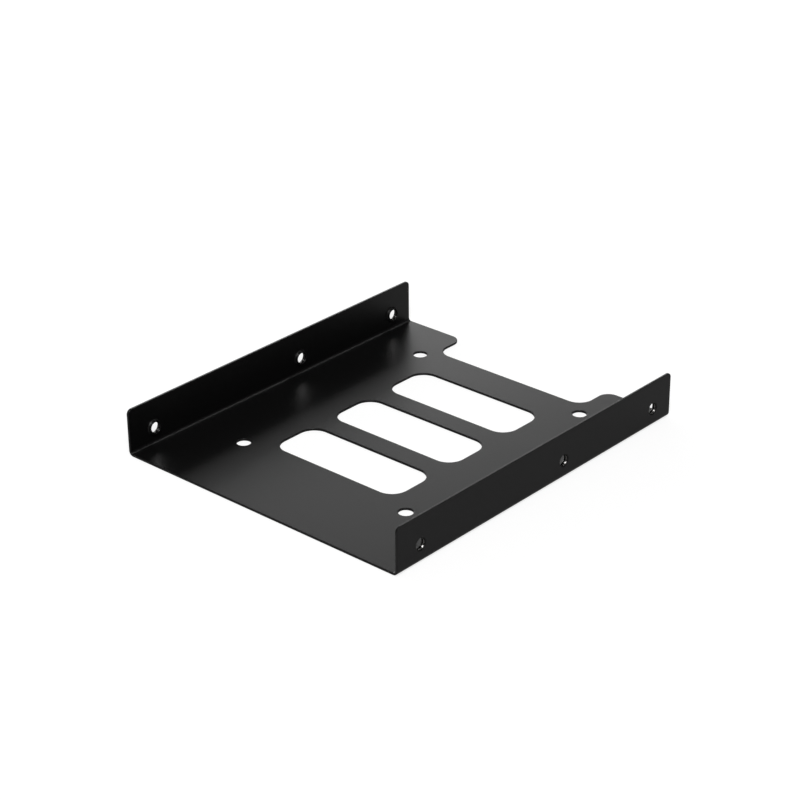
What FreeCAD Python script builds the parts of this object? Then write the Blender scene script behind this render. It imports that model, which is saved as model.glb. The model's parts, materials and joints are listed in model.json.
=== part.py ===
"""Drive bay adapter bracket: one folded steel sheet that carries a small drive in a large drive's place.

Frame: origin at the middle of the underside, X across the bracket, Y along it with the notched
edge at +Y, Z up. Millimetres. A plate lies flat, and a flange stands up along each long side.
"""
import FreeCAD, Part
import enum
import math
import os
import re

import Sketcher

V = FreeCAD.Vector
TOLERANCE = 1e-4
SHARP_DEGREES = 30


class Line(enum.IntEnum):
    """The lines that every sketch has from the start."""
    X_AXIS = -1
    Y_AXIS = -2


class At(enum.IntEnum):
    """The points of a sketched line, arc or circle."""
    START = 1
    END = 2
    CENTRE = 3


# Driving sizes: each one is set here and nowhere else
SIZES = {
    # folded sheet
    "overall_width": 101.6,
    "overall_height": 14.35,
    "sheet_thickness": 0.7,
    "bend_inner_radius": 0.9,
    "flange_corner_radius": 1.5,
    "rim_bevel": 0.06,
    # notch in the rear edge, between two tabs
    "notch_width": 56.2,
    "notch_depth": 12.05,
    "notch_inner_radius": 4.75,
    "tab_corner_radius": 3.7,
    # slots across the plate, one behind the other
    "slot_width": 46.3,
    "slot_breadth": 16.8,
    "slot_corner_radius": 5.1,
    "slot_setback": 29.65,
    "slot_pitch": 24.0,
    "slot_count": 3,
    # clearance holes in the plate for the small drive's screws
    "drive_hole_diameter": 4.3,
    "drive_hole_spacing": 61.72,
    "drive_hole_row_spacing": 76.6,
    "drive_hole_setback": 25.9,
    # extruded holes in the flanges, tapped for the bay's screws, between a front and a rear margin
    "bay_hole_front_margin": 9.3,
    "bay_hole_middle_spacing": 60.0,
    "bay_hole_end_spacing": 101.6,
    "bay_hole_rear_margin": 8.3,
    "bay_hole_height": 5.65,
    "bay_hole_diameter": 3.5,
    "bay_hole_entry_radius": 0.35,
    "collar_wall": 0.42,
    "collar_height": 0.85,
    "collar_root_bevel": 0.3,
    "collar_lip_bevel": 0.12,
}

# The bracket is as long as its row of bay holes with the two margins
LENGTH = "(bay_hole_front_margin + bay_hole_end_spacing + bay_hole_rear_margin)"

doc = FreeCAD.newDocument("drive_bay_bracket")


def make_sheet():
    """Puts each driving size in a cell of its own, named by its alias."""
    cells = doc.addObject("Spreadsheet::Sheet", "Sizes")
    for row, (name, value) in enumerate(SIZES.items(), start=1):
        cells.set(f"A{row}", name)
        cells.set(f"B{row}", str(value))
        cells.setAlias(f"B{row}", name)
    doc.recompute()
    return cells


sheet = make_sheet()


def size(name):
    """The value in a cell, for a sketch's first guess and for finding edges."""
    return float(getattr(sheet, name))


def formula(text):
    """Turns words such as overall_width / 2 into an expression on the sheet's cells."""
    return re.sub("[a-z_]+", lambda word: f"Sizes.{word[0]}", text)


def length():
    """The bracket's length, as the features work it out from their formula."""
    return sum(size(word) for word in re.findall("[a-z_]+", LENGTH))


def bind(feature, **formulas):
    """Ties properties of a feature to the driving sizes."""
    for name, text in formulas.items():
        feature.setExpression(name, formula(text))


# Sketch helpers

def origin_part(body, role):
    """One of the body's own origin planes or axes."""
    return next(part for part in body.Origin.OriginFeatures if part.Role == role)


def new_sketch(body, name, plane, **offset):
    """A sketch on an origin plane, shifted by formulas along its own x, y and z."""
    sketch = body.newObject("Sketcher::SketchObject", name)
    sketch.AttachmentSupport = [(origin_part(body, plane), "")]
    sketch.MapMode = "FlatFace"
    for axis, text in offset.items():
        sketch.setExpression(f".AttachmentOffset.Base.{axis}", formula(text))
    doc.recompute()
    return sketch


def add_line(sketch, start, end):
    return sketch.addGeometry(Part.LineSegment(V(*start, 0), V(*end, 0)), False)


def add_circle(sketch, centre, radius):
    return sketch.addGeometry(Part.Circle(V(*centre, 0), V(0, 0, 1), radius), False)


def add_quarter_arc(sketch, centre, radius, first_degrees):
    """A quarter turn that starts at first_degrees."""
    circle = Part.Circle(V(*centre, 0), V(0, 0, 1), radius)
    first = math.radians(first_degrees)
    return sketch.addGeometry(Part.ArcOfCircle(circle, first, first + math.pi / 2), False)


def constrain(sketch, kind, *details):
    return sketch.addConstraint(Sketcher.Constraint(kind, *details))


def dimension(sketch, kind, *details, to):
    """A dimension that follows a formula; its first value comes last in the details."""
    number = constrain(sketch, kind, *details)
    label = f"{kind}{number}"
    sketch.renameConstraint(number, label)
    sketch.setExpression(f"Constraints.{label}", formula(to))


def join(sketch, first, second):
    """Joins the nearest ends of two pieces of an outline, smoothly where one of them is an arc."""
    pairs = [(a, b) for a in (At.START, At.END) for b in (At.START, At.END)]
    nearest = min(pairs, key=lambda pair: sketch.getPoint(first, pair[0])
                  .distanceToPoint(sketch.getPoint(second, pair[1])))
    curved = any(isinstance(sketch.Geometry[piece], Part.ArcOfCircle) for piece in (first, second))
    constrain(sketch, "Tangent" if curved else "Coincident", first, nearest[0], second, nearest[1])


def close_outline(sketch, pieces):
    for first, second in zip(pieces, pieces[1:] + pieces[:1]):
        join(sketch, first, second)


# Solid helpers

def cut_through(body, name, sketch):
    """Cuts a sketch's outline through everything on its far side."""
    cut = body.newObject("PartDesign::Pocket", name)
    cut.Profile = sketch
    cut.Type = "ThroughAll"
    doc.recompute()
    return cut


def repeat(body, name, feature, axes, modes, **formulas):
    """A pattern of one feature along one or two of the body's axes."""
    pattern = body.newObject("PartDesign::LinearPattern", name)
    pattern.Originals = [feature]
    for suffix, axis, mode in zip(("", "2"), axes, modes):
        setattr(pattern, f"Direction{suffix}", (origin_part(body, axis), [""]))
        setattr(pattern, f"Mode{suffix}", mode)
    bind(pattern, **formulas)
    body.Tip = pattern
    doc.recompute()


def dress_edges(body, kind, name, wanted, **formulas):
    """Adds a fillet or a chamfer on those edges of the body so far that a test picks."""
    base = body.Tip
    edges = base.Shape.Edges
    names = [f"Edge{number}" for number, edge in enumerate(edges, start=1) if wanted(edge)]
    if not names:
        raise RuntimeError(f"{name} finds no edge")
    feature = body.newObject(f"PartDesign::{kind}", name)
    feature.Base = (base, names)
    bind(feature, **formulas)
    doc.recompute()


def round_edges(body, name, wanted, radius):
    dress_edges(body, "Fillet", name, wanted, Radius=radius)


def bevel_edges(body, name, wanted, width):
    dress_edges(body, "Chamfer", name, wanted, Size=width)


def same(a, b):
    return abs(a - b) < TOLERANCE


def runs_along(edge, axis):
    """True for a straight edge parallel to an axis."""
    return isinstance(edge.Curve, Part.Line) and same(abs(edge.Curve.Direction.dot(axis)), 1)


def is_sharp(shape, edge):
    """True where the two faces beside an edge meet at an angle, and not smoothly."""
    faces = shape.ancestorsOfType(edge, Part.Face)
    if len(faces) != 2:
        return False
    middle = edge.valueAt((edge.FirstParameter + edge.LastParameter) / 2)
    normals = [face.normalAt(*face.Surface.parameter(middle)) for face in faces]
    return normals[0].getAngle(normals[1]) > math.radians(SHARP_DEGREES)


# The folded sheet

def draw_section(sketch):
    """The channel's section: a floor, two bends and two flanges of one thickness."""
    half, top = size("overall_width") / 2, size("overall_height")
    thick, inner = size("sheet_thickness"), size("bend_inner_radius")
    outer = inner + thick
    side, bend = half - thick, half - outer
    underside = add_line(sketch, (-bend, 0), (bend, 0))
    right_bend_out = add_quarter_arc(sketch, (bend, outer), outer, 270)
    right_out = add_line(sketch, (half, outer), (half, top))
    right_top = add_line(sketch, (half, top), (side, top))
    right_in = add_line(sketch, (side, top), (side, outer))
    right_bend_in = add_quarter_arc(sketch, (bend, outer), inner, 270)
    floor = add_line(sketch, (bend, thick), (-bend, thick))
    left_bend_in = add_quarter_arc(sketch, (-bend, outer), inner, 180)
    left_in = add_line(sketch, (-side, outer), (-side, top))
    left_top = add_line(sketch, (-side, top), (-half, top))
    left_out = add_line(sketch, (-half, top), (-half, outer))
    left_bend_out = add_quarter_arc(sketch, (-bend, outer), outer, 180)
    close_outline(sketch, [underside, right_bend_out, right_out, right_top, right_in, right_bend_in,
                           floor, left_bend_in, left_in, left_top, left_out, left_bend_out])
    for line in (right_top, floor, left_top):
        constrain(sketch, "Horizontal", line)
    for line in (right_out, right_in, left_in, left_out):
        constrain(sketch, "Vertical", line)
    constrain(sketch, "Symmetric", underside, At.START, underside, At.END, Line.Y_AXIS)
    constrain(sketch, "PointOnObject", underside, At.START, Line.X_AXIS)
    constrain(sketch, "Coincident", right_bend_out, At.CENTRE, right_bend_in, At.CENTRE)
    constrain(sketch, "Coincident", left_bend_out, At.CENTRE, left_bend_in, At.CENTRE)
    constrain(sketch, "Equal", right_bend_in, left_bend_in)
    constrain(sketch, "Horizontal", left_top, At.END, right_top, At.START)
    dimension(sketch, "Radius", right_bend_in, inner, to="bend_inner_radius")
    dimension(sketch, "DistanceX", left_top, At.END, right_top, At.START, 2 * half, to="overall_width")
    dimension(sketch, "DistanceY", underside, At.END, right_top, At.START, top, to="overall_height")
    dimension(sketch, "DistanceY", underside, At.END, floor, At.START, thick, to="sheet_thickness")


def fold_sheet(body):
    """The channel, with the flanges' upper corners rounded."""
    section = new_sketch(body, "Section", "XZ_Plane")
    draw_section(section)
    channel = body.newObject("PartDesign::Pad", "Channel")
    channel.Profile = section
    channel.SideType = "Symmetric"
    bind(channel, Length=LENGTH)
    doc.recompute()

    half_length, top = length() / 2, size("overall_height")

    def flange_corner(edge):
        middle = edge.CenterOfMass
        at_corner = same(abs(middle.y), half_length) and same(middle.z, top)
        return at_corner and runs_along(edge, V(1, 0, 0))

    round_edges(body, "FlangeCorners", flange_corner, "flange_corner_radius")


# Cut-outs in the plate, drawn on its upper face

def cut_notch(body):
    """The wide notch in the rear edge, with round inner corners, and the round corners of its tabs."""
    half, depth = size("notch_width") / 2, size("notch_depth")
    run_out = size("sheet_thickness")
    sketch = new_sketch(body, "NotchOutline", "XY_Plane",
                        y=f"{LENGTH} / 2 - notch_depth", z="sheet_thickness")
    bottom = add_line(sketch, (-half, 0), (half, 0))
    right = add_line(sketch, (half, 0), (half, depth + run_out))
    mouth = add_line(sketch, (half, depth + run_out), (-half, depth + run_out))
    left = add_line(sketch, (-half, depth + run_out), (-half, 0))
    close_outline(sketch, [bottom, right, mouth, left])
    constrain(sketch, "Horizontal", mouth)
    constrain(sketch, "Vertical", right)
    constrain(sketch, "Vertical", left)
    constrain(sketch, "Symmetric", bottom, At.START, bottom, At.END, Line.Y_AXIS)
    constrain(sketch, "PointOnObject", bottom, At.START, Line.X_AXIS)
    dimension(sketch, "DistanceX", bottom, At.START, bottom, At.END, 2 * half, to="notch_width")
    dimension(sketch, "DistanceY", right, At.START, right, At.END, depth + run_out,
              to="notch_depth + sheet_thickness")
    cut_through(body, "Notch", sketch)

    rear = length() / 2

    def upright_at(y):
        def wanted(edge):
            middle = edge.CenterOfMass
            return same(abs(middle.x), half) and same(middle.y, y) and runs_along(edge, V(0, 0, 1))
        return wanted

    round_edges(body, "NotchInnerCorners", upright_at(rear - depth), "notch_inner_radius")
    round_edges(body, "TabCorners", upright_at(rear), "tab_corner_radius")


def cut_slots(body):
    """Round-cornered slots across the plate, evenly spaced from the front edge."""
    half, breadth = size("slot_width") / 2, size("slot_breadth")
    radius = size("slot_corner_radius")
    x, low, high = half - radius, radius, breadth - radius
    sketch = new_sketch(body, "SlotOutline", "XY_Plane",
                        y=f"slot_setback - {LENGTH} / 2", z="sheet_thickness")
    near_side = add_line(sketch, (-x, 0), (x, 0))
    near_right = add_quarter_arc(sketch, (x, low), radius, 270)
    right = add_line(sketch, (half, low), (half, high))
    far_right = add_quarter_arc(sketch, (x, high), radius, 0)
    far_side = add_line(sketch, (x, breadth), (-x, breadth))
    far_left = add_quarter_arc(sketch, (-x, high), radius, 90)
    left = add_line(sketch, (-half, high), (-half, low))
    near_left = add_quarter_arc(sketch, (-x, low), radius, 180)
    close_outline(sketch, [near_side, near_right, right, far_right, far_side, far_left, left, near_left])
    constrain(sketch, "Horizontal", far_side)
    constrain(sketch, "Vertical", right)
    constrain(sketch, "Vertical", left)
    constrain(sketch, "Symmetric", near_side, At.START, near_side, At.END, Line.Y_AXIS)
    constrain(sketch, "PointOnObject", near_side, At.START, Line.X_AXIS)
    for arc in (far_right, far_left, near_left):
        constrain(sketch, "Equal", near_right, arc)
    dimension(sketch, "Radius", near_right, radius, to="slot_corner_radius")
    dimension(sketch, "DistanceX", left, At.END, right, At.START, 2 * half, to="slot_width")
    dimension(sketch, "DistanceY", near_side, At.END, far_side, At.START, breadth, to="slot_breadth")
    slot = cut_through(body, "Slot", sketch)
    repeat(body, "Slots", slot, ["Y_Axis"], ["Spacing"], Occurrences="slot_count", Offset="slot_pitch")


def drill_drive_holes(body):
    """Four clearance holes on the small drive's underside pattern."""
    diameter = size("drive_hole_diameter")
    sketch = new_sketch(body, "DriveHoleOutline", "XY_Plane", x="- drive_hole_spacing / 2",
                        y=f"drive_hole_setback - {LENGTH} / 2", z="sheet_thickness")
    circle = add_circle(sketch, (0, 0), diameter / 2)
    constrain(sketch, "Coincident", circle, At.CENTRE, Line.X_AXIS, At.START)
    dimension(sketch, "Diameter", circle, diameter, to="drive_hole_diameter")
    hole = cut_through(body, "DriveHole", sketch)
    repeat(body, "DriveHoles", hole, ["X_Axis", "Y_Axis"], ["Extent", "Extent"],
           Occurrences="2", Length="drive_hole_spacing",
           Occurrences2="2", Length2="drive_hole_row_spacing")


def break_rims(body):
    """Takes the sharpness off every rim of the punched sheet."""
    shape = body.Tip.Shape
    bevel_edges(body, "Rims", lambda edge: is_sharp(shape, edge), "rim_bevel")


# Extruded and tapped holes in the flanges

def draw_bay_circles(sketch, radius, diameter_formula):
    """Three equal circles along a flange, measured from the front edge and the underside."""
    height, margin = size("bay_hole_height"), size("bay_hole_front_margin")
    spacings = {"bay_hole_middle_spacing": size("bay_hole_middle_spacing"),
                "bay_hole_end_spacing": size("bay_hole_end_spacing")}
    origin = (Line.X_AXIS, At.START)
    first = add_circle(sketch, (margin, height), radius)
    dimension(sketch, "Diameter", first, 2 * radius, to=diameter_formula)
    dimension(sketch, "DistanceX", *origin, first, At.CENTRE, margin, to="bay_hole_front_margin")
    dimension(sketch, "DistanceY", *origin, first, At.CENTRE, height, to="bay_hole_height")
    for name, spacing in spacings.items():
        circle = add_circle(sketch, (margin + spacing, height), radius)
        constrain(sketch, "Equal", first, circle)
        constrain(sketch, "Horizontal", first, At.CENTRE, circle, At.CENTRE)
        dimension(sketch, "DistanceX", first, At.CENTRE, circle, At.CENTRE, spacing, to=name)


def extrude_bay_holes(body):
    """Collars drawn inwards from both flanges and bored through, with round entries and bevelled lips."""
    outside, thick = size("overall_width") / 2, size("sheet_thickness")
    inside = outside - thick
    bore, wall = size("bay_hole_diameter") / 2, size("collar_wall")
    lip = inside - size("collar_height")

    collar_sketch = new_sketch(body, "CollarOutlines", "YZ_Plane",
                               x=f"- {LENGTH} / 2", z="overall_width / 2 - sheet_thickness")
    draw_bay_circles(collar_sketch, bore + wall, "bay_hole_diameter + 2 * collar_wall")
    collars = body.newObject("PartDesign::Pad", "Collars")
    collars.Profile = collar_sketch
    collars.Reversed = True
    bind(collars, Length="collar_height")
    doc.recompute()
    mirrored = body.newObject("PartDesign::Mirrored", "CollarsOtherSide")
    mirrored.Originals = [collars]
    mirrored.MirrorPlane = (origin_part(body, "YZ_Plane"), [""])
    body.Tip = mirrored
    doc.recompute()

    bore_sketch = new_sketch(body, "BoreOutlines", "YZ_Plane",
                             x=f"- {LENGTH} / 2", z="overall_width / 2")
    draw_bay_circles(bore_sketch, bore, "bay_hole_diameter")
    cut_through(body, "Bores", bore_sketch)

    def ring(x, *radii):
        def wanted(edge):
            if not isinstance(edge.Curve, Part.Circle):
                return False
            faces_sideways = same(abs(edge.Curve.Axis.x), 1) and same(abs(edge.CenterOfMass.x), x)
            return faces_sideways and any(same(edge.Curve.Radius, radius) for radius in radii)
        return wanted

    round_edges(body, "Entries", ring(outside, bore), "bay_hole_entry_radius")
    bevel_edges(body, "CollarRoots", ring(inside, bore + wall), "collar_root_bevel")
    bevel_edges(body, "CollarLips", ring(lip, bore, bore + wall), "collar_lip_bevel")


def check_document():
    """Stops if a feature failed or left the solid as it was."""
    for item in doc.Objects:
        if "Invalid" in item.State or "Error" in item.State:
            raise RuntimeError(f"{item.Label} failed: {item.State}")
        shape = getattr(item, "Shape", None)
        if shape is not None and item.isDerivedFrom("PartDesign::Feature"):
            if shape.isNull() or not shape.isValid():
                raise RuntimeError(f"{item.Label} has no valid shape")
            base = getattr(item, "BaseFeature", None)
            if base is not None and same(base.Shape.Volume, shape.Volume):
                raise RuntimeError(f"{item.Label} changes nothing")


def make_bracket():
    body = doc.addObject("PartDesign::Body", "Bracket")
    body.Label = "bracket"
    doc.recompute()
    fold_sheet(body)
    cut_notch(body)
    cut_slots(body)
    drill_drive_holes(body)
    break_rims(body)
    extrude_bay_holes(body)
    return body


bracket = make_bracket()
doc.recompute()
check_document()
if len(bracket.Shape.Solids) != 1:
    raise RuntimeError(f"{bracket.Label} is not one solid")
os.makedirs("parts", exist_ok=True)
bracket.Shape.exportStep(f"parts/{bracket.Label}.step")
print(f"{bracket.Label}: {bracket.Shape.Volume:.1f} mm3, {len(bracket.Shape.Faces)} faces")
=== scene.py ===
"""The looks of a drive bay adapter bracket: its powder coat, its cut threads and the studio it stands in."""
import json
import math

import bpy
from bpy.props import FloatProperty, FloatVectorProperty, IntProperty, PointerProperty
from mathutils import Matrix, Vector

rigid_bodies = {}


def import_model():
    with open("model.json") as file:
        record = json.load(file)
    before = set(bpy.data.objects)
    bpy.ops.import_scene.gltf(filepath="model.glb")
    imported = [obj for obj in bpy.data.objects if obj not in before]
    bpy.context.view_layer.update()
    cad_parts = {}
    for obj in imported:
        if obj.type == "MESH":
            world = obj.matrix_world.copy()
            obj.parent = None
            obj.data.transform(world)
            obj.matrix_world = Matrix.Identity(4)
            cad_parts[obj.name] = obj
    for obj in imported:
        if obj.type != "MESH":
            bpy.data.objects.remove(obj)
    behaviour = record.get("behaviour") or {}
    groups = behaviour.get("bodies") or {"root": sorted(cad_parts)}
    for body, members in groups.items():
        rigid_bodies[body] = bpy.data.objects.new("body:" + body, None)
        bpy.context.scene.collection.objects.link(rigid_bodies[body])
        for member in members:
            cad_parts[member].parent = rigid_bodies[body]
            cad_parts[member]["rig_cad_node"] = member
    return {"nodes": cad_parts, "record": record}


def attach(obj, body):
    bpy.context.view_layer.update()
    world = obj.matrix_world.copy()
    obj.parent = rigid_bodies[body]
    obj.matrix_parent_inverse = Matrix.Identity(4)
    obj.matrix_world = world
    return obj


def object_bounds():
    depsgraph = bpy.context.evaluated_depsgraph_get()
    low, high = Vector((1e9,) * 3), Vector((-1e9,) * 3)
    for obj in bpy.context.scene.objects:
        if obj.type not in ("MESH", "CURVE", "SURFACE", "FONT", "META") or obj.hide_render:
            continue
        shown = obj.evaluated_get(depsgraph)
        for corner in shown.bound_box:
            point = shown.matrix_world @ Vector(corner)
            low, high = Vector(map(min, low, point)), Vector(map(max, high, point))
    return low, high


bl_info = {
    "name": "Drive Bay Bracket",
    "version": (1, 0, 0),
    "blender": (4, 5, 0),
    "location": "View3D > Sidebar > Bracket",
    "description": "Coats, threads and lights a folded steel drive bay bracket",
    "category": "Object",
}

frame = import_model()
CAD_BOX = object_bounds()

MM = 0.001
SHEET = "bracket"
BODY = "root"

# The grain's grey where a speck starts, and where it is full
SPECK_STARTS, SPECK_FULL = 0.45, 0.75

# The attribute that holds a thread's share of bare steel, and how far up a ridge that share is full. Lower
# on the ridge the steel is darkened as painted shade in the groove.
BARE = "bare"
BARE_ABOVE = 0.5

# The tap's marks in the steel: swells and grains in a metre, their height, and how much rougher specks are
CUT_SWELL_SCALE, CUT_GRAIN_SCALE, CUT_GRAIN_HEIGHT = 2500.0, 9000.0, 0.5
CUT_DEPTH = 0.004 * MM
CUT_ROUGHNESS_SPREAD = 0.12

# The marks' height where stain starts and where it is thickest, and the share of steel left bare there
STAIN_STARTS, STAIN_FULL, LEAST_BARE = 0.3, 0.9, 0.6

# A thread's edge that turns more than this looks sharp
CREASE = math.radians(50)

# The floor's glow changes between these distances from the bracket's middle
NEAR_FLOOR, FAR_FLOOR = 0.15, 0.6

# The camera, as a fit to the photograph's known sizes gave it. It looks at a point just behind the middle of
# the underside, and stands a little aside of and above that line of sight.
CAMERA_AZIMUTH, CAMERA_ELEVATION = math.radians(41.798), math.radians(26.723)
CAMERA_ROLL = math.radians(-0.502)
CAMERA_DISTANCE = 644.53 * MM
CAMERA_LENS, CAMERA_SENSOR = 100.824, 36.0
CAMERA_ASIDE, CAMERA_ABOVE, AIM_BEHIND = -1.129 * MM, 10.066 * MM, 0.4 * MM


class CoatSettings(bpy.types.PropertyGroup):
    """The powder coat on the sheet."""

    colour: FloatVectorProperty(
        name="Colour", description="Pigment of the coat",
        subtype="COLOR", size=3, min=0, max=1, default=(0.0015, 0.0014, 0.0015))
    speck_colour: FloatVectorProperty(
        name="Speck Colour", description="Paler pigment specks in the coat",
        subtype="COLOR", size=3, min=0, max=1, default=(0.0035, 0.0033, 0.0034))
    roughness: FloatProperty(
        name="Roughness", description="Roughness of the cured coat",
        subtype="FACTOR", min=0, max=1, default=0.38)
    roughness_spread: FloatProperty(
        name="Roughness Spread", description="How much rougher the specks are",
        subtype="FACTOR", min=0, max=1, default=0.06)
    peel_size: FloatProperty(
        name="Peel Size", description="Width of one swell of the coat's orange peel",
        unit="LENGTH", min=0, default=1.3 * MM, precision=5)
    peel_depth: FloatProperty(
        name="Peel Depth", description="Height of the orange peel",
        unit="LENGTH", min=0, default=0.004 * MM, precision=6)
    grain_size: FloatProperty(
        name="Grain Size", description="Width of one grain of the powder",
        unit="LENGTH", min=0, default=0.16 * MM, precision=5)
    grain_depth: FloatProperty(
        name="Grain Depth", description="Height of the powder's grain",
        unit="LENGTH", min=0, default=0.0008 * MM, precision=6)
    rim_softness: FloatProperty(
        name="Rim Softness", description="How far the coat looks drawn round a rim",
        unit="LENGTH", min=0, default=0.3 * MM, precision=5)


class ThreadSettings(bpy.types.PropertyGroup):
    """The threads cut in the side holes."""

    pitch: FloatProperty(
        name="Pitch", description="Distance from one turn to the next",
        unit="LENGTH", min=0.1 * MM, default=0.794 * MM, precision=5)
    crest_radius: FloatProperty(
        name="Crest Radius", description="Radius inside the ridges",
        unit="LENGTH", min=0, default=1.49 * MM, precision=5)
    root_radius: FloatProperty(
        name="Root Radius", description="Radius at the bottom of the groove",
        unit="LENGTH", min=0, default=1.72 * MM, precision=5)
    bury: FloatProperty(
        name="Bury", description="How far the lining reaches into the bore's wall",
        unit="LENGTH", min=0, default=0.06 * MM, precision=5)
    lip_setback: FloatProperty(
        name="Lip Setback", description="Distance from the flange's outer face to the thread's inner end",
        unit="LENGTH", min=0, default=1.42 * MM, precision=5)
    entry_setback: FloatProperty(
        name="Entry Setback", description="Distance from the flange's outer face to the thread's outer end",
        unit="LENGTH", min=0, default=0.36 * MM, precision=5)
    entry_lead_in: FloatProperty(
        name="Entry Lead-in", description="Length over which the ridges grow from the outer end",
        unit="LENGTH", min=0.01 * MM, default=0.37 * MM, precision=5)
    lip_lead_in: FloatProperty(
        name="Lip Lead-in", description="Length over which the ridges grow from the inner end",
        unit="LENGTH", min=0.01 * MM, default=0.2 * MM, precision=5)
    start: FloatProperty(
        name="Start", description="Where round the bore the thread starts, in turns",
        default=-0.136)
    # Past this length from the outer end the steel is darkened down to the deep bareness, as painted shade
    # of the bore's inside.
    scraped: FloatProperty(
        name="Scraped Length", description="Length from the outer end that the tap scraped bare",
        unit="LENGTH", min=0.01 * MM, default=0.5 * MM, precision=5)
    deep_bareness: FloatProperty(
        name="Deep Bareness", description="Share of bare steel on the deeper crests",
        subtype="FACTOR", min=0, max=1, default=0.2)
    segments: IntProperty(
        name="Segments", description="Steps round the bore",
        min=12, default=96)
    steps: IntProperty(
        name="Steps", description="Steps along the bore",
        min=8, default=44)
    steel_colour: FloatVectorProperty(
        name="Steel Colour", description="Bare steel where the tap cut",
        subtype="COLOR", size=3, min=0, max=1, default=(0.42, 0.41, 0.40))
    # The dark colour that the steel turns to in the grooves and deeper in the bore is painted shade,
    # together with some coat and oil left in the groove.
    shade_and_stain_colour: FloatVectorProperty(
        name="Stain Colour", description="Coat and oil left in the groove",
        subtype="COLOR", size=3, min=0, max=1, default=(0.006, 0.006, 0.006))
    steel_roughness: FloatProperty(
        name="Steel Roughness", description="Roughness of the cut steel",
        subtype="FACTOR", min=0, max=1, default=0.22)


class StudioSettings(bpy.types.PropertyGroup):
    """The floor, the white background and the lamps."""

    floor_colour: FloatVectorProperty(
        name="Floor Colour", description="Paper under the bracket",
        subtype="COLOR", size=3, min=0, max=1, default=(0.33, 0.33, 0.33))
    floor_size: FloatProperty(
        name="Floor Size", description="Side of the floor",
        unit="LENGTH", min=0.5, default=6.0)
    floor_gap: FloatProperty(
        name="Floor Gap", description="How far the floor lies below the underside",
        unit="LENGTH", min=0, default=0.05 * MM, precision=6)
    floor_glow: FloatProperty(
        name="Floor Glow", description="White that the camera sees on the floor near the bracket",
        min=0, default=0.75)
    far_glow: FloatProperty(
        name="Far Glow", description="White that the camera sees on the floor far from the bracket",
        min=0, default=1.1)
    mirrored_glow: FloatProperty(
        name="Mirrored Glow", description="White that glossy surfaces see on the floor",
        min=0, default=0.02)
    mirrored_room: FloatProperty(
        name="Mirrored Room", description="Brightness of the room as glossy surfaces see it",
        min=0, default=0.035)
    fill: FloatProperty(
        name="Fill", description="Brightness of the room for scattered light",
        min=0, default=0.2)


def clear_scene():
    """Removes Blender's default objects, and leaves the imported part."""
    for thing in list(bpy.data.objects):
        if "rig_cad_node" in thing or thing.name.startswith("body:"):
            continue
        bpy.data.objects.remove(thing)


class Nodes:
    """A short way to add and join the nodes of one tree."""

    def __init__(self, tree):
        self.tree = tree

    def add(self, kind, **settings):
        """Adds a node with its own settings, such as a Math node's operation."""
        node = self.tree.nodes.new(kind)
        for name, value in settings.items():
            setattr(node, name, value)
        return node

    def put(self, value, socket):
        """Links an output to an input, or sets the input to a plain value."""
        if isinstance(value, bpy.types.NodeSocket):
            self.tree.links.new(value, socket)
        else:
            socket.default_value = value

    def set(self, node, **values):
        """Links or sets inputs by name, with spaces written as underscores."""
        for name, value in values.items():
            self.put(value, node.inputs[name.replace("_", " ")])
        return node

    def math(self, operation, *values):
        """Adds a Math node and returns its output."""
        node = self.add("ShaderNodeMath", operation=operation)
        for socket, value in zip(node.inputs, values):
            self.put(value, socket)
        return node.outputs[0]

    def noise(self, vector, scale, detail, roughness=0.5):
        """Adds a Noise Texture and returns its grey."""
        node = self.add("ShaderNodeTexNoise")
        self.set(node, Vector=vector, Scale=scale, Detail=detail, Roughness=roughness)
        return node.outputs["Fac"]

    def spread(self, value, low, high, to_low=0.0, to_high=1.0):
        """Adds a Map Range node with soft ends, and returns its result."""
        node = self.add("ShaderNodeMapRange", interpolation_type="SMOOTHSTEP")
        self.set(node, Value=value, From_Min=low, From_Max=high, To_Min=to_low, To_Max=to_high)
        return node.outputs["Result"]

    def mirrored_rays(self, path):
        """Picks the rays that a glossy or clear surface sends on, from a Light Path node's outputs."""
        return self.math("MAXIMUM", path["Is Glossy Ray"], path["Is Transmission Ray"])


def surface_grain_group():
    """A shader group with the fine relief and the specks that both the coat and the bare steel have."""
    name = "Surface Grain"
    if name in bpy.data.node_groups:
        return bpy.data.node_groups[name]
    group = bpy.data.node_groups.new(name, "ShaderNodeTree")
    face = group.interface
    face.new_socket("Vector", in_out="INPUT", socket_type="NodeSocketVector")
    starting = {"Swell Scale": 770.0, "Swell Height": 1.0, "Grain Scale": 6000.0, "Grain Height": 0.2}
    for label, value in starting.items():
        face.new_socket(label, in_out="INPUT", socket_type="NodeSocketFloat").default_value = value
    for label in ("Height", "Specks"):
        face.new_socket(label, in_out="OUTPUT", socket_type="NodeSocketFloat")
    build = Nodes(group)
    given = build.add("NodeGroupInput").outputs
    swell = build.noise(given["Vector"], given["Swell Scale"], detail=1.0)
    grain = build.noise(given["Vector"], given["Grain Scale"], detail=3.0, roughness=0.6)
    swell_height = build.math("MULTIPLY", swell, given["Swell Height"])
    grain_height = build.math("MULTIPLY", grain, given["Grain Height"])
    result = build.add("NodeGroupOutput")
    build.set(
        result, Height=build.math("ADD", swell_height, grain_height),
        Specks=build.spread(grain, SPECK_STARTS, SPECK_FULL))
    return group


def new_material(name):
    """Makes an empty node material and returns it with its node builder and its shader."""
    material = bpy.data.materials.new(name)
    material.use_nodes = True
    material.node_tree.nodes.clear()
    build = Nodes(material.node_tree)
    shader = build.add("ShaderNodeBsdfPrincipled")
    build.set(build.add("ShaderNodeOutputMaterial"), Surface=shader.outputs["BSDF"])
    return material, build, shader


def place_grain(build, **values):
    """Puts the shared grain group in a material, in the object's own space."""
    grain = build.add("ShaderNodeGroup", node_tree=surface_grain_group())
    place = build.add("ShaderNodeTexCoord")
    build.set(grain, Vector=place.outputs["Object"], **values)
    return grain.outputs


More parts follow.
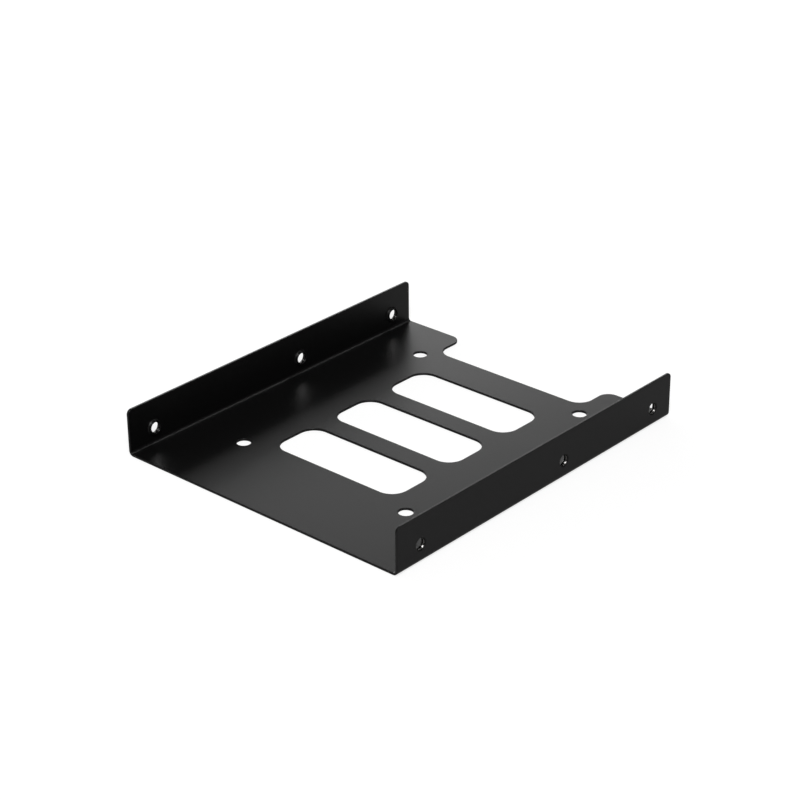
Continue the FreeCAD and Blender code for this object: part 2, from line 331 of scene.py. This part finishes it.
def mix_colours(build, factor, first, second):
    """Adds a Mix node from the first colour to the second and returns its colour."""
    mix = build.add("ShaderNodeMix", data_type="RGBA")
    build.set(mix, Factor=factor)
    for label, value in (("A", first), ("B", second)):
        socket = next(s for s in mix.inputs if s.name == label and s.type == "RGBA")
        socket.default_value = (*value, 1.0)
    return next(s for s in mix.outputs if s.type == "RGBA")


def powder_coat_material(coat):
    """Semi-matt black powder coat: fine specks, orange peel and grain."""
    material, build, shader = new_material("powder_coat")
    grain = place_grain(
        build, Swell_Scale=1 / coat.peel_size, Swell_Height=1.0,
        Grain_Scale=1 / coat.grain_size, Grain_Height=coat.grain_depth / coat.peel_depth)
    colour = mix_colours(build, grain["Specks"], coat.colour, coat.speck_colour)
    rough = build.spread(grain["Specks"], 0.0, 1.0, coat.roughness, coat.roughness + coat.roughness_spread)
    rim = build.set(build.add("ShaderNodeBevel", samples=6), Radius=coat.rim_softness)
    bump = build.add("ShaderNodeBump")
    build.set(
        bump, Strength=1.0, Distance=coat.peel_depth, Height=grain["Height"], Normal=rim.outputs["Normal"])
    build.set(shader, Base_Color=colour, Roughness=rough, Normal=bump.outputs["Normal"])
    return material


def thread_steel_material(thread):
    """Cut steel, bare on the crests at the entry, darkened in the grooves and deeper in the bore: painted
    shade of the bore's inside, with some coat and oil left in the groove.
    """
    material, build, shader = new_material("thread_steel")
    grain = place_grain(
        build, Swell_Scale=CUT_SWELL_SCALE, Swell_Height=1.0,
        Grain_Scale=CUT_GRAIN_SCALE, Grain_Height=CUT_GRAIN_HEIGHT)
    bare = build.add("ShaderNodeAttribute", attribute_name=BARE, attribute_type="GEOMETRY").outputs["Fac"]
    patches = build.spread(grain["Height"], STAIN_STARTS, STAIN_FULL, 1.0, LEAST_BARE)
    # The mix towards the dark colour is painted shade in the grooves and deeper in the bore, plus random
    # stained patches from the grain.
    shade_and_stain = build.math("SUBTRACT", 1.0, build.math("MULTIPLY", bare, patches))
    colour = mix_colours(build, shade_and_stain, thread.steel_colour, thread.shade_and_stain_colour)
    rough = build.spread(
        grain["Specks"], 0.0, 1.0, thread.steel_roughness, thread.steel_roughness + CUT_ROUGHNESS_SPREAD)
    bump = build.add("ShaderNodeBump")
    build.set(bump, Strength=1.0, Distance=CUT_DEPTH, Height=grain["Height"])
    build.set(shader, Base_Color=colour, Metallic=1.0, Roughness=rough, Normal=bump.outputs["Normal"])
    return material


def side_hole_places():
    """Where each side hole opens on its flange's outer face, by name."""
    holes = {}
    mounts = {mount["name"]: mount for mount in frame["record"]["mounts"]}
    for side in ("left", "right"):
        for group, ends in (("ends", ("front", "rear")), ("middle", ("front", "middle"))):
            mount = mounts[f"bay_holes_{side}_{group}"]
            half = mount["dims"]["spacing_x_mm"] * MM / 2
            for name, step in zip(ends, (-half, half)):
                holes[f"thread_{side}_{name}"] = Vector(mount["pos_m"]) + Vector((0, step, 0))
    return holes


def ridge_height(turn):
    """The share of the full ridge at a place in one turn, 0 in the groove and 1 on the crest."""
    groove, crest = 1 / 8, 1 / 4
    away = abs((turn % 1.0) - 0.5) * 2
    return min(max((1 - groove - away) / (1 - groove - crest), 0.0), 1.0)


def thread_mesh(name, place, thread):
    """A closed lining of one bore, with a right-handed ridge on its inside."""
    outward = math.copysign(1.0, place.x)
    count = thread.segments
    length = thread.lip_setback - thread.entry_setback
    depth = thread.root_radius - thread.crest_radius
    buried = thread.root_radius + thread.bury
    rings, bareness = [], []

    def ring(along, radii, bare):
        """Adds one ring round the bore, and the share of bare steel at each of its points."""
        points = []
        for step, radius in enumerate(radii):
            angle = 2 * math.pi * step / count
            points.append((
                place.x - outward * (thread.entry_setback + along),
                place.y + radius * math.cos(angle), place.z + radius * math.sin(angle)))
        rings.append(points)
        bareness.extend(bare)

    for row in range(thread.steps + 1):
        along = length * row / thread.steps
        grown = min(1.0, along / thread.entry_lead_in, (length - along) / thread.lip_lead_in)
        # Painted shade: the bare share falls from the outer end to the deep bareness further in, and to
        # nothing in the grooves.
        scraped = max(thread.deep_bareness, 1 - along / thread.scraped)
        turned = thread.start - outward * along / thread.pitch
        ridges = [ridge_height(turned + step / count) for step in range(count)]
        ring(
            along, [thread.root_radius - depth * grown * ridge for ridge in ridges],
            [scraped * min(1.0, ridge / BARE_ABOVE) for ridge in ridges])
    for end in (length, 0.0):
        ring(end, [buried] * count, [0.0] * count)
    faces = []
    for row in range(len(rings)):
        here, there = row * count, (row + 1) % len(rings) * count
        for step in range(count):
            following = (step + 1) % count
            face = (here + step, here + following, there + following, there + step)
            faces.append(face if outward > 0 else face[::-1])
    mesh = bpy.data.meshes.new(name)
    mesh.from_pydata([point for points in rings for point in points], [], faces)
    mesh.validate()
    mesh.attributes.new(BARE, "FLOAT", "POINT").data.foreach_set("value", bareness)
    mesh.shade_smooth()
    mesh.set_sharp_from_angle(angle=CREASE)
    return mesh


class BRACKET_OT_coat_sheet(bpy.types.Operator):
    """Give the folded sheet its powder coat"""

    bl_idname = "bracket.coat_sheet"
    bl_label = "Coat Sheet"
    bl_options = {"REGISTER", "UNDO"}

    def execute(self, context):
        sheet = frame["nodes"][SHEET]
        coat = powder_coat_material(context.scene.bracket_coat)
        for slot in sheet.material_slots:
            slot.material = coat
        return {"FINISHED"}


class BRACKET_OT_cut_threads(bpy.types.Operator):
    """Line the six side holes with their cut threads"""

    bl_idname = "bracket.cut_threads"
    bl_label = "Cut Threads"
    bl_options = {"REGISTER", "UNDO"}

    def execute(self, context):
        thread = context.scene.bracket_thread
        steel = thread_steel_material(thread)
        for name, place in side_hole_places().items():
            piece = bpy.data.objects.new(name, thread_mesh(name, place, thread))
            piece.data.materials.append(steel)
            context.scene.collection.objects.link(piece)
            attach(piece, BODY)
        return {"FINISHED"}


def floor_material(studio):
    """Grey paper that takes the shadow. The camera sees it as white, and not at all from below."""
    material, build, shader = new_material("studio_floor")
    place = build.add("ShaderNodeTexCoord")
    far = build.add("ShaderNodeVectorMath", operation="LENGTH")
    build.put(place.outputs["Object"], far.inputs[0])
    seen = build.spread(far.outputs["Value"], NEAR_FLOOR, FAR_FLOOR, studio.floor_glow, studio.far_glow)
    path = build.add("ShaderNodeLightPath").outputs
    glow = build.math(
        "ADD", build.math("MULTIPLY", path["Is Camera Ray"], seen),
        build.math("MULTIPLY", build.mirrored_rays(path), studio.mirrored_glow))
    build.set(
        shader, Base_Color=(*studio.floor_colour, 1), Roughness=1.0, Specular_IOR_Level=0.0,
        Emission_Color=(1, 1, 1, 1), Emission_Strength=glow)
    under = build.add("ShaderNodeNewGeometry")
    clear = build.add("ShaderNodeBsdfTransparent")
    mix = build.add("ShaderNodeMixShader")
    given = (under.outputs["Backfacing"], shader.outputs["BSDF"], clear.outputs["BSDF"])
    for value, socket in zip(given, mix.inputs):
        build.put(value, socket)
    output = next(node for node in material.node_tree.nodes if node.type == "OUTPUT_MATERIAL")
    build.set(output, Surface=mix.outputs["Shader"])
    return material


def make_floor(studio):
    """Lays the floor just below the underside."""
    half = studio.floor_size / 2
    corners = [(-half, -half, 0), (half, -half, 0), (half, half, 0), (-half, half, 0)]
    mesh = bpy.data.meshes.new("studio_floor")
    mesh.from_pydata(corners, [], [(0, 1, 2, 3)])
    floor = bpy.data.objects.new("studio_floor", mesh)
    floor.location.z = CAD_BOX[0][2] - studio.floor_gap
    mesh.materials.append(floor_material(studio))
    bpy.context.scene.collection.objects.link(floor)


def make_room(studio):
    """A room that the camera sees as white, and that is dim for glossy surfaces and for scattered light."""
    world = bpy.data.worlds.new("studio_room")
    bpy.context.scene.world = world
    world.use_nodes = True
    world.node_tree.nodes.clear()
    build = Nodes(world.node_tree)
    path = build.add("ShaderNodeLightPath").outputs
    for_mirrors = build.math("MULTIPLY", build.mirrored_rays(path), studio.mirrored_room)
    scattered = build.math("MULTIPLY", path["Is Diffuse Ray"], studio.fill)
    strength = build.math("ADD", path["Is Camera Ray"], build.math("ADD", for_mirrors, scattered))
    background = build.set(build.add("ShaderNodeBackground"), Color=(1, 1, 1, 1), Strength=strength)
    build.set(build.add("ShaderNodeOutputWorld"), Surface=background.outputs["Background"])


def from_angles(azimuth, elevation):
    """The unit way from the bracket towards a place, where azimuth 0 is in front and 90 is to the right."""
    turn, rise = math.radians(azimuth), math.radians(elevation)
    return Vector((math.sin(turn) * math.cos(rise), -math.cos(turn) * math.cos(rise), math.sin(rise)))


LAMPS = (
    # name, azimuth, elevation, distance, width, height, brightness
    ("lamp_over_camera", 42, 50, 1.1, 0.30, 0.30, 22.0),
    ("lamp_front", 42, 62, 1.2, 1.00, 1.00, 0.6),
    ("lamp_backdrop_low", -107, 13.5, 1.0, 1.90, 0.28, 3.3),
    ("lamp_backdrop_high", -112, 25.5, 1.0, 1.90, 0.14, 1.3),
    ("lamp_behind", 172, 53, 1.2, 0.45, 0.17, 3.8),
)


def make_lamps():
    """Stands the soft lamps round the bracket. A brightness of 1 is seen as white."""
    for name, azimuth, elevation, distance, width, height, brightness in LAMPS:
        data = bpy.data.lights.new(name, "AREA")
        data.shape = "RECTANGLE"
        data.size = width
        data.size_y = height
        data.energy = brightness * math.pi * width * height
        lamp = bpy.data.objects.new(name, data)
        way = from_angles(azimuth, elevation)
        facing = way.to_track_quat("Z", "Y").to_matrix().to_4x4()
        lamp.matrix_world = Matrix.Translation(way * distance) @ facing
        bpy.context.scene.collection.objects.link(lamp)


def make_camera():
    """Stands the camera where the photograph was taken."""
    turned = (
        Matrix.Rotation(CAMERA_AZIMUTH, 4, "Z") @ Matrix.Rotation(math.pi / 2 - CAMERA_ELEVATION, 4, "X")
        @ Matrix.Rotation(CAMERA_ROLL, 4, "Z"))
    data = bpy.data.cameras.new("camera")
    data.sensor_width = CAMERA_SENSOR
    data.lens = CAMERA_LENS
    data.clip_start = 0.01
    data.clip_end = 20
    camera = bpy.data.objects.new("camera", data)
    aim = Matrix.Translation((0, AIM_BEHIND, 0))
    camera.matrix_world = aim @ turned @ Matrix.Translation((CAMERA_ASIDE, CAMERA_ABOVE, CAMERA_DISTANCE))
    bpy.context.scene.collection.objects.link(camera)
    bpy.context.scene.camera = camera


class BRACKET_OT_set_stage(bpy.types.Operator):
    """Set up the floor, the white room, the lamps and the camera"""

    bl_idname = "bracket.set_stage"
    bl_label = "Set Stage"
    bl_options = {"REGISTER", "UNDO"}

    def execute(self, context):
        studio = context.scene.bracket_studio
        context.scene.view_settings.view_transform = "Standard"
        clear_scene()
        make_floor(studio)
        make_room(studio)
        make_lamps()
        make_camera()
        return {"FINISHED"}


class VIEW3D_PT_bracket(bpy.types.Panel):
    """The bracket's settings and steps."""

    bl_label = "Drive Bay Bracket"
    bl_space_type = "VIEW_3D"
    bl_region_type = "UI"
    bl_category = "Bracket"

    def draw(self, context):
        for operator, group in STEPS:
            box = self.layout.box()
            settings = getattr(context.scene, group)
            for name in settings.__annotations__:
                box.prop(settings, name)
            box.operator(operator.bl_idname)


STEPS = (
    (BRACKET_OT_set_stage, "bracket_studio"),
    (BRACKET_OT_coat_sheet, "bracket_coat"),
    (BRACKET_OT_cut_threads, "bracket_thread"),
)
GROUPS = {"bracket_studio": StudioSettings, "bracket_coat": CoatSettings, "bracket_thread": ThreadSettings}
CLASSES = (*GROUPS.values(), *(operator for operator, group in STEPS), VIEW3D_PT_bracket)


def register():
    for cls in CLASSES:
        bpy.utils.register_class(cls)
    for name, cls in GROUPS.items():
        setattr(bpy.types.Scene, name, PointerProperty(type=cls))


def unregister():
    for name in GROUPS:
        delattr(bpy.types.Scene, name)
    for cls in reversed(CLASSES):
        bpy.utils.unregister_class(cls)


def main():
    register()
    bpy.ops.bracket.set_stage()
    bpy.ops.bracket.coat_sheet()
    bpy.ops.bracket.cut_threads()


if __name__ == "__main__":
    main()
